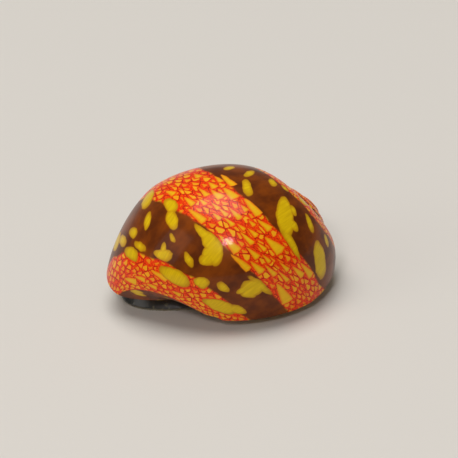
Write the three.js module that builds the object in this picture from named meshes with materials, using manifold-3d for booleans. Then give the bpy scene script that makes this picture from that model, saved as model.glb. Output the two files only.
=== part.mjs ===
// A nerite snail at life size, still, with its foot flat on the floor.
// Millimetres and degrees. The head faces -Y, the animal's left is +X, and the origin is the
// centre of the sole, on the floor.
import * as THREE from "three";
import { mergeVertices } from "three/addons/utils/BufferGeometryUtils.js";
import Module from "manifold-3d";

const wasm = await Module();
wasm.setup();

const gap = 0.3; // clear space between touching pieces
const block = 80; // side of a block that cuts, larger than the animal

// The shell is a spiral: one section that turns about an axis and grows at a steady rate.
const spiral = {
  growthPerTurn: 2.14,
  sectionRadius: 4.8, // from the axis to the middle of the last section
  centreDrop: 7.25, // from the apex down the axis to the middle of the last section
  halfWidth: 5.3,
  halfHeight: 8.1,
  squareness: 1.62, // 2 is an ellipse, less is a rounded diamond
  sectionTurn: 2.9,
  spireLift: 2.4, // how far the apex stands above that of a spiral of one shape throughout
  sides: 36,
  columella: 0.02, // the section stops this short of the axis
};
const whorls = { apexAt: -1080, lastTurnFrom: -360, lipAt: 36, earlyStep: 15, lastStep: 7.5 };

// How the shell is carried: the axis is laid down, the spire raised, and the lip turned to the front right.
const carriage = {
  turnAboutAxis: 74.8,
  spireRaised: 21.5,
  mouthPlane: -2.2, // height of the plane of the mouth below the apex
  heading: 123,
  centre: [-6.9, 0.9], // the middle of the mouth plane before it is turned to its heading
  place: [1.6, -0.2, 1.75], // of the middle of the mouth plane over the sole
  farSideRaised: 8,
  frontRaised: 3,
};

const mouth = {
  wall: 0.8, // thickness of the lip
  columellaRadius: 1.0,
  deepestAt: -125, // how far back along the spiral the opening reaches
  pastLip: 12, // and how far it runs out of the lip
  nearLipFrom: -60, // the length of the last whorl that the head has to clear
  openingSides: 28,
  openingStep: 14,
  // the shallow hollow in the deck, over the operculum
  deckHollow: {
    at: [0.2, -2.5],
    halfWidth: 4.6,
    halfLength: 3.0,
    squareness: 2.4,
    depth: 0.5,
    slope: 0.35,
    sides: 40,
  },
  // the straight edge of the deck, with its blunt teeth, smaller away from the middle
  deckEdge: { at: [0, 0.1], teeth: 6, spacing: 0.62, toothRadius: 0.28, toothHeight: 1.3, fall: 0.08 },
};

const mantle = { thickness: 0.75, from: 0.1, to: 1.3, bodyOverlap: 0.5 };

const foot = {
  middle: [-1.0, -0.1],
  halfWidth: 4.3,
  halfLength: 7.2,
  frontSquareness: 2.7,
  rearSquareness: 1.9,
  levels: [
    { height: 0, inset: 0.1 },
    { height: 0.2, inset: 0 },
    { height: 0.5, inset: 0.25 },
    { height: 1.3, inset: 0.75 },
    { height: 2.2, inset: 1.3 },
  ],
  splitAt: 0.6, // where the front and rear lengths of the foot part
  sides: 56,
};

// A thick plate on the back of the foot, rounded behind and nearly straight towards the opening.
const operculum = {
  thickness: 0.55,
  halfWidth: 2.7,
  halfLength: 1.9,
  squareness: 2.2,
  straightAt: 1.1,
  top: 0.1,
  sides: 32,
};

// The head is turned to the animal's right, so it comes out under the front right of the lip.
const head = {
  at: [-5.7, -3.75],
  turnedRight: 58,
  squareness: 2.3,
  sides: 28,
  neck: [
    { y: 3.6, halfWidth: 1.2, bottom: 1.0, top: 1.8 },
    { y: 2.4, halfWidth: 1.5, bottom: 0.95, top: 1.9 },
    { y: 1.2, halfWidth: 1.75, bottom: 0.95, top: 2.1 },
  ],
  skull: [
    { y: 0.9, halfWidth: 1.75, bottom: 0.9, top: 2.1 },
    { y: 0.2, halfWidth: 1.9, bottom: 0.65, top: 2.25 },
    { y: -0.6, halfWidth: 1.95, bottom: 0.5, top: 2.35 },
    { y: -1.1, halfWidth: 1.85, bottom: 0.45, top: 2.25 },
    { y: -1.4, halfWidth: 1.7, bottom: 0.42, top: 2.1 },
  ],
  snout: [
    { y: -1.7, halfWidth: 1.6, bottom: 0.4, top: 1.95 },
    { y: -2.2, halfWidth: 1.5, bottom: 0.3, top: 1.7 },
    { y: -2.6, halfWidth: 1.3, bottom: 0.22, top: 1.4 },
    { y: -2.85, halfWidth: 1.0, bottom: 0.25, top: 1.1 },
    { y: -2.95, halfWidth: 0.6, bottom: 0.35, top: 0.9 },
  ],
};

// Two lips under the end of the snout, with the mouth as a slit between them.
const lips = {
  radii: [0.62, 0.3, 0.27],
  at: [0.5, -2.72, 0.45],
  splay: 18,
  slitSize: [0.16, 0.5, 0.7],
  slitAt: [0, -2.92, 0.35],
};

const tentacle = {
  left: [[1.3, -1.0, 2.0], [1.45, -1.9, 2.4], [0.0, -3.2, 2.5], [-1.8, -4.1, 2.1], [-3.4, -4.4, 1.6]],
  right: [[-1.3, -1.0, 2.0], [-2.0, -2.2, 2.35], [-3.4, -3.1, 2.0], [-5.0, -3.5, 1.45], [-6.4, -3.3, 1.1]],
  lengths: [
    { name: "base", from: 0, to: 0.34 },
    { name: "middle", from: 0.34, to: 0.68 },
    { name: "tip", from: 0.68, to: 1 },
  ],
  rootRadius: 0.36,
  tipRadius: 0.1,
  taper: 0.8, // 1 tapers evenly, less tapers sooner
  sides: 12,
  stepsPerLength: 8,
};

const eye = {
  root: [1.62, -0.75, 1.95],
  lean: [0.62, -0.3, 0.72],
  stalkLength: 0.85,
  stalkRadius: 0.34,
  stalkTipRadius: 0.27,
  stalkSteps: 4,
  stalkSides: 14,
  radius: 0.2,
  clear: 0.12, // from the stalk to the eye
};

// Geometry helpers

function solid(geometry) {
  const bare = geometry.clone();
  bare.deleteAttribute("normal");
  bare.deleteAttribute("uv");
  const merged = mergeVertices(bare, 1e-4);
  const made = new wasm.Manifold(
    new wasm.Mesh({
      numProp: 3,
      vertProperties: merged.attributes.position.array,
      triVerts: new Uint32Array(merged.index.array),
    }),
  );
  return made;
}

function signedVolume(points, triangles) {
  let sum = 0;
  for (const [a, b, c] of triangles) {
    sum += points[a].dot(new THREE.Vector3().crossVectors(points[b], points[c]));
  }
  return sum / 6;
}

// Joins rings of equally many points into a closed solid, with a fan over each end.
function loft(rings) {
  const count = rings[0].length;
  const points = rings.flat().map((p) => p.clone());
  const triangles = [];
  for (let i = 0; i + 1 < rings.length; i += 1) {
    for (let j = 0; j < count; j += 1) {
      const a = i * count + j;
      const b = i * count + ((j + 1) % count);
      triangles.push([a, b, a + count], [b, b + count, a + count]);
    }
  }
  const middle = (ring) => ring.reduce((sum, p) => sum.add(p), new THREE.Vector3()).divideScalar(count);
  const first = points.push(middle(rings[0])) - 1;
  const last = points.push(middle(rings[rings.length - 1])) - 1;
  const lastRing = (rings.length - 1) * count;
  for (let j = 0; j < count; j += 1) {
    const next = (j + 1) % count;
    triangles.push([first, next, j], [last, lastRing + j, lastRing + next]);
  }
  if (signedVolume(points, triangles) < 0) triangles.forEach((t) => t.reverse());
  const geometry = new THREE.BufferGeometry().setFromPoints(points);
  geometry.setIndex(triangles.flat());
  return solid(geometry);
}

function box(size, centre) {
  return solid(new THREE.BoxGeometry(...size).translate(...centre));
}

// A block whose face is the plane z = height, lying above it or below it.
function above(height) {
  return box([block, block, block], [0, 0, height + block / 2]);
}

function below(height) {
  return box([block, block, block], [0, 0, height - block / 2]);
}

function ellipsoid(radii, centre, segments, turnDeg = 0) {
  const geometry = new THREE.SphereGeometry(1, ...segments).rotateX(Math.PI / 2);
  geometry.scale(...radii).rotateZ(THREE.MathUtils.degToRad(turnDeg));
  return solid(geometry.translate(...centre));
}

function largest(body) {
  const pieces = body.decompose();
  return pieces.reduce((best, piece) => (piece.volume() > best.volume() ? piece : best));
}

function mesh(name, body, material) {
  const made = largest(body).getMesh();
  const geometry = new THREE.BufferGeometry();
  geometry.setAttribute("position", new THREE.BufferAttribute(made.vertProperties, 3));
  geometry.setIndex(new THREE.BufferAttribute(made.triVerts, 1));
  geometry.computeVertexNormals();
  const piece = new THREE.Mesh(geometry, material);
  piece.name = name;
  return piece;
}

function moved(body, matrix) {
  const given = body.getMesh();
  const geometry = new THREE.BufferGeometry();
  geometry.setAttribute("position", new THREE.BufferAttribute(given.vertProperties.slice(), 3));
  geometry.setIndex(new THREE.BufferAttribute(given.triVerts.slice(), 1));
  return solid(geometry.applyMatrix4(matrix));
}

// The spiral

const rad = THREE.MathUtils.degToRad;
const signedPower = (value, power) => Math.sign(value) * Math.abs(value) ** power;

// From the shell's own frame, with the axis upright and the apex at the origin, to the plane of the mouth.
function carriedFrame() {
  const [x, y] = carriage.centre;
  const layDown = new THREE.Matrix4().set(0, 0, 1, 0, 0, 1, 0, 0, -1, 0, 0, 0, 0, 0, 0, 1);
  return new THREE.Matrix4()
    .makeRotationZ(rad(carriage.heading))
    .multiply(new THREE.Matrix4().makeTranslation(-x, -y, -carriage.mouthPlane))
    .multiply(new THREE.Matrix4().makeRotationY(rad(-carriage.spireRaised)))
    .multiply(layDown)
    .multiply(new THREE.Matrix4().makeRotationZ(rad(carriage.turnAboutAxis)));
}

const carried = carriedFrame();

function sectionRing(angle, inset, columella, sides) {
  const growth = spiral.growthPerTurn ** (angle / 360);
  const tilt = rad(spiral.sectionTurn);
  const power = 2 / spiral.squareness;
  const ring = [];
  for (let i = 0; i < sides; i += 1) {
    const around = Math.PI / 2 - (2 * Math.PI * i) / sides;
    const across = (spiral.halfWidth - inset) * signedPower(Math.cos(around), power);
    const along = (spiral.halfHeight - inset) * signedPower(Math.sin(around), power);
    const out = spiral.sectionRadius + across * Math.cos(tilt) - along * Math.sin(tilt);
    const r = growth * Math.max(columella, out);
    const up = growth * (across * Math.sin(tilt) + along * Math.cos(tilt) - spiral.centreDrop);
    const z = up + spiral.spireLift * (1 - growth);
    const point = new THREE.Vector3(r * Math.cos(rad(angle)), -r * Math.sin(rad(angle)), z);
    ring.push(point.applyMatrix4(carried));
  }
  return ring;
}

function spiralTube(from, to, step, inset = 0, columella = spiral.columella, sides = spiral.sides) {
  const steps = Math.max(1, Math.round((to - from) / step));
  const rings = [];
  for (let i = 0; i <= steps; i += 1) {
    rings.push(sectionRing(from + ((to - from) * i) / steps, inset, columella, sides));
  }
  return loft(rings);
}

// The whole outer form, joined from quarter turns because each whorl runs over the one before.
function spiralBody() {
  let body = spiralTube(whorls.lastTurnFrom, whorls.lastTurnFrom + 90, whorls.lastStep);
  for (let at = whorls.lastTurnFrom + 90; at < whorls.lipAt; at += 90) {
    body = body.add(spiralTube(at, Math.min(at + 90, whorls.lipAt), whorls.lastStep));
  }
  for (let at = whorls.lastTurnFrom; at > whorls.apexAt; at -= 90) {
    body = body.add(spiralTube(at - 90, at, whorls.earlyStep));
  }
  return body;
}

// The opening of the shell, or what fits inside it, by how far it stays from the outside and the axis.
function hollow(inset, columella) {
  const { deepestAt, pastLip, openingStep, openingSides } = mouth;
  return spiralTube(deepestAt, whorls.lipAt + pastLip, openingStep, inset, columella, openingSides);
}

// From the plane of the mouth to the floor.
const carriedPlace = new THREE.Matrix4()
  .makeRotationFromEuler(new THREE.Euler(rad(-carriage.frontRaised), rad(carriage.farSideRaised), 0))
  .setPosition(...carriage.place);

function material(color, roughness) {
  return new THREE.MeshStandardMaterial({ color, roughness, metalness: 0 });
}

const shellMaterial = material(0x8a4a12, 0.18);
const fleshMaterial = material(0x2b2c26, 0.35);
const mantleMaterial = material(0x3a3b30, 0.35);
const operculumMaterial = material(0xb98b62, 0.45);
const eyeMaterial = material(0x050505, 0.08);

// An outline round the Z axis, a rounded rectangle or oval by its two squareness values.
function outline(halfWidth, halfLength, front, rear, sides, height) {
  const ring = [];
  for (let i = 0; i < sides; i += 1) {
    const around = (2 * Math.PI * i) / sides;
    const power = 2 / (Math.sin(around) < 0 ? front : rear);
    const x = halfWidth * signedPower(Math.cos(around), power);
    const y = halfLength * signedPower(Math.sin(around), power);
    ring.push(new THREE.Vector3(x, y, height));
  }
  return ring;
}

// From the plane of the mouth, with the axis of the shell along X, to its heading.
function atHeading(body, [x, y]) {
  const matrix = new THREE.Matrix4().makeTranslation(x, y, 0);
  return moved(body, matrix.premultiply(new THREE.Matrix4().makeRotationZ(rad(carriage.heading))));
}

function deckHollow() {
  const { at, halfWidth, halfLength, squareness, depth, slope, sides } = mouth.deckHollow;
  const ring = (inset, height) =>
    outline(halfWidth - inset, halfLength - inset, squareness, squareness, sides, height);
  return atHeading(loft([ring(0, -depth), ring(slope, depth)]), at);
}

function deckTeeth() {
  const { at, teeth, spacing, toothRadius, toothHeight, fall } = mouth.deckEdge;
  let joined = null;
  for (let i = 0; i < teeth; i += 1) {
    const fromMiddle = i - (teeth - 1) / 2;
    const size = toothRadius * (1 - fall * Math.abs(fromMiddle));
    const radii = [size, size, size * toothHeight];
    const tooth = ellipsoid(radii, [fromMiddle * spacing, 0, size], [10, 8]);
    joined = joined ? joined.add(tooth) : tooth;
  }
  return atHeading(joined, at);
}

function shell() {
  const opening = hollow(mouth.wall, mouth.columellaRadius);
  const outer = spiralBody().subtract(opening).add(deckTeeth());
  const body = outer.intersect(above(0)).subtract(deckHollow());
  return mesh("shell", body, shellMaterial);
}

// What fills the opening, by how far it stays inside the clear space round it.
function filling(inset) {
  return hollow(mouth.wall + gap + inset, mouth.columellaRadius + mouth.deckEdge.toothRadius + gap + inset);
}

function mantleBand() {
  const outer = filling(0);
  const inner = filling(mantle.thickness);
  const height = above(mantle.from).intersect(below(mantle.to));
  return mesh("mantle_edge", outer.intersect(height).subtract(inner), mantleMaterial);
}

// The soft body that fills the shell, inside the mantle edge and above it.
function visceralBody() {
  const top = mantle.to + gap;
  const upper = filling(0).intersect(above(top));
  const lower = filling(mantle.thickness + gap).intersect(above(0)).intersect(below(top + mantle.bodyOverlap));
  return mesh("body", upper.add(lower), fleshMaterial);
}

function operculumPlate(grow = 0) {
  const { thickness, halfLength, halfWidth, squareness, straightAt, top, sides } = operculum;
  const rings = [top - thickness - grow, top + grow].map((height) =>
    outline(halfWidth + grow, halfLength + grow, squareness, squareness, sides, height),
  );
  const straightEdge = box([block, block, block], [0, block / 2 + straightAt + grow, 0]);
  return atHeading(loft(rings).subtract(straightEdge), mouth.deckHollow.at);
}

// The foot

function footBody() {
  const rings = foot.levels.map(({ height, inset }) =>
    outline(
      foot.halfWidth - inset,
      foot.halfLength - inset,
      foot.frontSquareness,
      foot.rearSquareness,
      foot.sides,
      height,
    ),
  );
  return moved(loft(rings), new THREE.Matrix4().makeTranslation(...foot.middle, 0))
    .intersect(moved(below(-gap), carriedPlace))
    .subtract(moved(operculumPlate(gap), carriedPlace))
    .subtract(inHeadFrame(headLoft([...head.neck, ...head.skull], gap)))
    .subtract(inHeadFrame(headLoft(head.snout, gap)));
}

function footLength(name, rear) {
  const side = rear ? 1 : -1;
  const half = box([block, block, block], [0, foot.splitAt + (side * (block + gap)) / 2, 0]);
  return mesh(name, footBody().intersect(half), fleshMaterial);
}

// The head, in its own frame: it faces -Y there, with its height above the floor along Z

const headPlace = new THREE.Matrix4().makeRotationZ(rad(-head.turnedRight)).setPosition(...head.at, 0);

function inHeadFrame(body) {
  return moved(body, headPlace);
}

function headLoft(stations, grow = 0) {
  const rings = stations.map(({ y, halfWidth, bottom, top }, i) => {
    const end = i === 0 ? grow : i === stations.length - 1 ? -grow : 0;
    const ring = [];
    for (let k = 0; k < head.sides; k += 1) {
      const around = (2 * Math.PI * k) / head.sides;
      const power = 2 / head.squareness;
      const x = (halfWidth + grow) * signedPower(Math.cos(around), power);
      const z = ((top - bottom) / 2 + grow) * signedPower(Math.sin(around), power);
      ring.push(new THREE.Vector3(x, y + end, (top + bottom) / 2 + z));
    }
    return ring;
  });
  return loft(rings);
}

// Clear of the shell: the last part of the spiral made larger all round by the gap.
function lipClearance() {
  const outset = spiralTube(mouth.nearLipFrom, whorls.lipAt, whorls.lastStep * 2, -gap).intersect(above(-gap));
  return moved(outset, carriedPlace);
}

const lipCut = lipClearance();

function headPiece(name, stations) {
  return mesh(name, inHeadFrame(headLoft(stations)).subtract(lipCut), fleshMaterial);
}

// What grows from the head starts at its surface, by the gap.
const headCut = inHeadFrame(headLoft(head.skull, gap)).add(inHeadFrame(headLoft(head.snout, gap)));

function feeler(name, body, material = fleshMaterial) {
  return mesh(name, inHeadFrame(body).subtract(headCut).subtract(lipCut), material);
}

function snout() {
  const [x, y, z] = lips.at;
  let body = headLoft(head.snout);
  for (const side of [-1, 1]) {
    body = body.add(ellipsoid(lips.radii, [side * x, y, z], [16, 10], -side * lips.splay));
  }
  return mesh("snout", inHeadFrame(body.subtract(box(lips.slitSize, lips.slitAt))), fleshMaterial);
}

// A round tapered length along a curve, with flat ends.
function taperedLength(curve, from, to, radiusAt, steps, sides) {
  const rings = [];
  for (let i = 0; i <= steps; i += 1) {
    const share = from + ((to - from) * i) / steps;
    const at = curve.getPointAt(share);
    const along = curve.getTangentAt(share);
    const side = new THREE.Vector3().crossVectors(along, new THREE.Vector3(0, 0, 1)).normalize();
    const up = new THREE.Vector3().crossVectors(side, along);
    const ring = [];
    for (let k = 0; k < sides; k += 1) {
      const around = (2 * Math.PI * k) / sides;
      const radius = radiusAt(share);
      const point = at.clone().addScaledVector(side, radius * Math.cos(around));
      ring.push(point.addScaledVector(up, radius * Math.sin(around)));
    }
    rings.push(ring);
  }
  return loft(rings);
}

function tentacleLengths(sideName) {
  const group = new THREE.Group();
  const curve = new THREE.CatmullRomCurve3(tentacle[sideName].map((p) => new THREE.Vector3(...p)));
  const share = gap / curve.getLength() / 2;
  const radiusAt = (t) => THREE.MathUtils.lerp(tentacle.rootRadius, tentacle.tipRadius, t ** tentacle.taper);
  for (const { name, from, to } of tentacle.lengths) {
    const start = from === 0 ? 0 : from + share;
    const end = to === 1 ? 1 : to - share;
    const body = taperedLength(curve, start, end, radiusAt, tentacle.stepsPerLength, tentacle.sides);
    group.add(feeler(`tentacle_${sideName}_${name}`, body));
  }
  return group;
}

function eyeAndStalk(sideName) {
  const side = sideName === "left" ? 1 : -1;
  const [x, y, z] = eye.root;
  const root = new THREE.Vector3(side * x, y, z);
  const lean = new THREE.Vector3(side * eye.lean[0], eye.lean[1], eye.lean[2]).normalize();
  const tip = root.clone().addScaledVector(lean, eye.stalkLength);
  const curve = new THREE.LineCurve3(root, tip);
  const radiusAt = (t) => THREE.MathUtils.lerp(eye.stalkRadius, eye.stalkTipRadius, t);
  const stalk = taperedLength(curve, 0, 1, radiusAt, eye.stalkSteps, eye.stalkSides);
  const centre = tip.clone().addScaledVector(lean, eye.clear + eye.radius);
  const group = new THREE.Group();
  const ball = ellipsoid([eye.radius, eye.radius, eye.radius], centre.toArray(), [14, 10]);
  group.add(feeler(`eye_stalk_${sideName}`, stalk), feeler(`eye_${sideName}`, ball, eyeMaterial));
  return group;
}

// The whole animal

const snail = new THREE.Group();
const carriedShell = new THREE.Group();
carriedShell.applyMatrix4(carriedPlace);
carriedShell.add(shell(), mantleBand(), visceralBody());
carriedShell.add(mesh("operculum", operculumPlate(), operculumMaterial));
snail.add(carriedShell);
snail.add(footLength("foot_front", false), footLength("foot_rear", true));
snail.add(headPiece("neck", head.neck), headPiece("head", head.skull), snout());
for (const side of ["left", "right"]) snail.add(tentacleLengths(side), eyeAndStalk(side));

export default snail;
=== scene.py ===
import math

import bmesh
import bpy
import numpy as np
from mathutils import Matrix, Quaternion, Vector


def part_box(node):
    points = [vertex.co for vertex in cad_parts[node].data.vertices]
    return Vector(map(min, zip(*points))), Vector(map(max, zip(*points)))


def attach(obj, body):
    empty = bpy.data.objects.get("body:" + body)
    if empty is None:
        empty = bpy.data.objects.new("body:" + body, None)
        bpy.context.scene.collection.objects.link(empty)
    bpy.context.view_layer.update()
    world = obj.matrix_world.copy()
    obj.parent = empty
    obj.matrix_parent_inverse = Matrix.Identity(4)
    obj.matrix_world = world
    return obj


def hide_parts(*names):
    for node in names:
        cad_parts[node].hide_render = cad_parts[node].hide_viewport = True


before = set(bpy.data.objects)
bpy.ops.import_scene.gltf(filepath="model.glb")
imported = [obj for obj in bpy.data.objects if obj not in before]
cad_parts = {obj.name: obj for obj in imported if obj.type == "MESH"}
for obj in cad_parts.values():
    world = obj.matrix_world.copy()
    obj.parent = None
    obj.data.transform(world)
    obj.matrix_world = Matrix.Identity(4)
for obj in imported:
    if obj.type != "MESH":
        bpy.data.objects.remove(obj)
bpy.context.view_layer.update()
millimetre = 0.001
print("frame loaded,", len(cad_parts), "solids")


# Short hands for nodes

def addNode(tree, kind, values=None, **settings):
    node = tree.nodes.new(kind)
    for key, value in settings.items():
        setattr(node, key, value)
    for key, value in (values or {}).items():
        feed(tree, node.inputs[key], value)
    return node


def feed(tree, socket, value):
    if isinstance(value, bpy.types.NodeSocket):
        tree.links.new(value, socket)
    elif value is not None:
        socket.default_value = value


def calc(tree, operation, *values):
    node = tree.nodes.new("ShaderNodeMath")
    node.operation = operation
    for socket, value in zip(node.inputs, values):
        feed(tree, socket, value)
    return node.outputs[0]


def combine(tree, x, y, z=0.0):
    return addNode(tree, "ShaderNodeCombineXYZ", {"X": x, "Y": y, "Z": z}).outputs[0]


def split(tree, vector):
    return addNode(tree, "ShaderNodeSeparateXYZ", {"Vector": vector}).outputs


def ramp(tree, value, low, high, fromValue=0.0, toValue=1.0):
    values = {"Value": value, "From Min": low, "From Max": high, "To Min": fromValue, "To Max": toValue}
    return addNode(tree, "ShaderNodeMapRange", values, interpolation_type="SMOOTHSTEP").outputs["Result"]


def mixColour(tree, amount, first, second, blend="MIX"):
    node = addNode(tree, "ShaderNodeMix", data_type="RGBA", blend_type=blend)
    feed(tree, node.inputs[0], amount)
    feed(tree, node.inputs[6], first)
    feed(tree, node.inputs[7], second)
    return node.outputs[2]


def noise(tree, place, scale, detail=2.0, roughness=0.5):
    values = {"Vector": place, "Scale": scale, "Detail": detail, "Roughness": roughness}
    return addNode(tree, "ShaderNodeTexNoise", values).outputs


def vectorCalc(tree, operation, first, second):
    return addNode(tree, "ShaderNodeVectorMath", {0: first, 1: second}, operation=operation).outputs[0]


def turnedPlace(tree, place, angle, centre=(0.0, 0.0, 0.0)):
    values = {"Vector": place, "Center": centre, "Angle": angle}
    return addNode(tree, "ShaderNodeVectorRotate", values, rotation_type="Z_AXIS").outputs[0]


numberSockets = {float: "NodeSocketFloat", int: "NodeSocketInt"}


def newGroup(name, kind, inputs, outputs):
    # each input is given as its number to begin with, or as the kind of its socket
    tree = bpy.data.node_groups.new(name, kind)
    for title, given in inputs.items():
        socketType = numberSockets.get(type(given)) or f"NodeSocket{given}"
        socket = tree.interface.new_socket(title, in_out="INPUT", socket_type=socketType)
        if type(given) in numberSockets:
            socket.default_value = given
    for title, socketKind in outputs.items():
        tree.interface.new_socket(title, in_out="OUTPUT", socket_type=f"NodeSocket{socketKind}")
    given = tree.nodes.new("NodeGroupInput").outputs
    result = tree.nodes.new("NodeGroupOutput").inputs
    return tree, given, result


def placeGroup(tree, group, values):
    node = tree.nodes.new("ShaderNodeGroup")
    node.node_tree = group
    for key, value in values.items():
        feed(tree, node.inputs[key], value)
    return node.outputs


def srgb(red, green, blue):
    def linear(value):
        value /= 255
        return value / 12.92 if value <= 0.04045 else ((value + 0.055) / 1.055) ** 2.4

    return (linear(red), linear(green), linear(blue), 1.0)


def newMaterial(name):
    material = bpy.data.materials.new(name)
    material.use_nodes = True
    tree = material.node_tree
    return material, tree, tree.nodes["Principled BSDF"]


def objectPlace(tree):
    return addNode(tree, "ShaderNodeTexCoord").outputs["Object"]


def addBump(tree, shader, height, strength, depth):
    values = {"Height": height, "Strength": strength, "Distance": depth * millimetre}
    feed(tree, shader.inputs["Normal"], addNode(tree, "ShaderNodeBump", values).outputs[0])


def mottleGroup():
    # a cloudy change from one colour to another, for shell and flesh
    inputs = {"Place": "Vector", "Scale": 1.0, "Detail": 3.0, "Roughness": 0.5, "Low": 0.35, "High": 0.65}
    inputs.update({"First colour": "Color", "Second colour": "Color"})
    outputs = {"Colour": "Color", "Cloud": "Float"}
    tree, given, result = newGroup("mottle", "ShaderNodeTree", inputs, outputs)
    cloud = noise(tree, given["Place"], given["Scale"], given["Detail"], given["Roughness"])["Fac"]
    amount = ramp(tree, cloud, given["Low"], given["High"])
    feed(tree, result["Colour"], mixColour(tree, amount, given["First colour"], given["Second colour"]))
    feed(tree, result["Cloud"], cloud)
    return tree


mottle = mottleGroup()


def mottled(tree, place, values, first, second):
    given = {"Place": place, "First colour": first, "Second colour": second, **values}
    return placeGroup(tree, mottle, given)


# Short hands for meshes

def newObject(name, mesh):
    made = bpy.data.objects.new(name, mesh)
    bpy.context.scene.collection.objects.link(made)
    return made


def evaluated(made):
    graph = bpy.context.evaluated_depsgraph_get()
    return bpy.data.meshes.new_from_object(made.evaluated_get(graph))


def dropObject(made):
    mesh = made.data
    bpy.data.objects.remove(made)
    if mesh is not None and mesh.users == 0:
        bpy.data.meshes.remove(mesh)


def joined(first, second, operation):
    one = newObject("first", first)
    two = newObject("second", second)
    two.hide_render = True
    cut = one.modifiers.new("join", "BOOLEAN")
    cut.operation = operation
    cut.solver = "MANIFOLD"
    cut.object = two
    result = evaluated(one)
    dropObject(one)
    dropObject(two)
    return result


def sharpEdges(mesh, degrees):
    shape = bmesh.new()
    shape.from_mesh(mesh)
    for edge in shape.edges:
        edge.smooth = edge.calc_face_angle(0) < math.radians(degrees)
    shape.to_mesh(mesh)
    shape.free()


def loftMesh(name, rings):
    sides = len(rings[0])
    points = [tuple(point) for ring in rings for point in ring]
    faces = []
    for i in range(len(rings) - 1):
        for k in range(sides):
            nextK = (k + 1) % sides
            at = i * sides
            faces.append((at + k, at + nextK, at + sides + nextK, at + sides + k))
    faces.append(tuple(reversed(range(sides))))
    faces.append(tuple(range((len(rings) - 1) * sides, len(rings) * sides)))
    mesh = bpy.data.meshes.new(name)
    mesh.from_pydata(points, [], faces)
    shape = bmesh.new()
    shape.from_mesh(mesh)
    bmesh.ops.recalc_face_normals(shape, faces=shape.faces)
    shape.to_mesh(mesh)
    shape.free()
    return mesh


def boxMesh(low, high):
    ring = [(low[0], low[1]), (high[0], low[1]), (high[0], high[1]), (low[0], high[1])]
    return loftMesh("box", [[(x, y, z) for x, y in ring] for z in (low[2], high[2])])


def vertexArray(mesh):
    flat = np.zeros(len(mesh.vertices) * 3, np.float32)
    mesh.vertices.foreach_get("co", flat)
    return flat.reshape(-1, 3).astype(float)


def vertexNormals(mesh):
    flat = np.zeros(len(mesh.vertices) * 3, np.float32)
    mesh.vertices.foreach_get("normal", flat)
    return flat.reshape(-1, 3)


def setVertices(mesh, points):
    mesh.vertices.foreach_set("co", points.astype(np.float32).ravel())
    mesh.update()


def signedPower(value, power):
    return np.sign(value) * np.abs(value) ** power


# Camera, lights and floor

photoCamera = {
    "azimuth": 91.43,
    "elevation": 28.2,
    "roll": -7.61,
    "frameWidth": 34.5 * millimetre,
    "lens": 600,
    "sensorWidth": 36,
    # nearest and farthest that it sees, as shares of its distance
    "sees": (0.05, 20),
    "soleRightOfMiddle": -0.98 * millimetre,
    "soleAboveMiddle": -4.35 * millimetre,
}


def makeCamera(values):
    camera = bpy.data.cameras.new("photoCamera")
    camera.sensor_width = values["sensorWidth"]
    camera.lens = values["lens"]
    distance = values["frameWidth"] * values["lens"] / camera.sensor_width
    nearest, farthest = values["sees"]
    camera.clip_start = distance * nearest
    camera.clip_end = distance * farthest
    turn = math.radians(values["azimuth"])
    rise = math.radians(values["elevation"])
    back = Vector((math.sin(turn) * math.cos(rise), -math.cos(turn) * math.cos(rise), math.sin(rise)))
    level = (-back).to_track_quat("-Z", "Y")
    held = level @ Quaternion((0, 0, 1), math.radians(values["roll"]))
    right = held @ Vector((1, 0, 0))
    up = held @ Vector((0, 1, 0))
    aim = -right * values["soleRightOfMiddle"] - up * values["soleAboveMiddle"]
    made = bpy.data.objects.new("photoCamera", camera)
    bpy.context.scene.collection.objects.link(made)
    made.rotation_mode = "QUATERNION"
    made.rotation_quaternion = held
    made.location = aim + back * distance
    bpy.context.scene.camera = made
    return aim, right, up, back


aim, pictureRight, pictureUp, towardsCamera = makeCamera(photoCamera)

studio = {
    "floorHalfSize": 1.2,
    "floorColour": srgb(214, 211, 205),
    "floorRoughness": 0.75,
    "worldColour": (0.88, 0.86, 0.83, 1.0),
    "worldStrength": 0.17,
    # place of each light from the snail, as right, up and towards the camera in the picture
    "lights": [
        {"name": "windowLight", "from": (-0.08, 0.09, 0.42), "size": (0.075, 0.06), "power": 0.42,
         "colour": (1.0, 0.93, 0.93)},
        {"name": "overheadLight", "from": (-0.12, 0.55, 0.22), "size": (0.5, 0.4), "power": 3.0,
         "colour": (1.0, 0.98, 0.95)},
        {"name": "leftLight", "from": (-0.5, 0.12, 0.25), "size": (0.3, 0.3), "power": 0.3,
         "colour": (1.0, 0.95, 0.9)},
    ],
}


def makeStudio(values):
    half = values["floorHalfSize"]
    mesh = bpy.data.meshes.new("floor")
    corners = [(-half, -half, 0), (half, -half, 0), (half, half, 0), (-half, half, 0)]
    mesh.from_pydata(corners, [], [(0, 1, 2, 3)])
    floor = newObject("floor", mesh)
    material, unused, shader = newMaterial("paleFloor")
    shader.inputs["Base Color"].default_value = values["floorColour"]
    shader.inputs["Roughness"].default_value = values["floorRoughness"]
    mesh.materials.append(material)
    world = bpy.data.worlds.new("studio")
    world.use_nodes = True
    sky = world.node_tree.nodes["Background"]
    sky.inputs["Color"].default_value = values["worldColour"]
    sky.inputs["Strength"].default_value = values["worldStrength"]
    bpy.context.scene.world = world
    for light in values["lights"]:
        lamp = bpy.data.lights.new(light["name"], "AREA")
        lamp.shape = "RECTANGLE"
        lamp.size, lamp.size_y = light["size"]
        lamp.energy = light["power"]
        lamp.color = light["colour"]
        made = bpy.data.objects.new(light["name"], lamp)
        bpy.context.scene.collection.objects.link(made)
        right, up, towards = light["from"]
        way = pictureRight * right + pictureUp * up + towardsCamera * towards
        made.location = aim + way
        made.rotation_mode = "QUATERNION"
        made.rotation_quaternion = (-way).to_track_quat("-Z", "Y")


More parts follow.
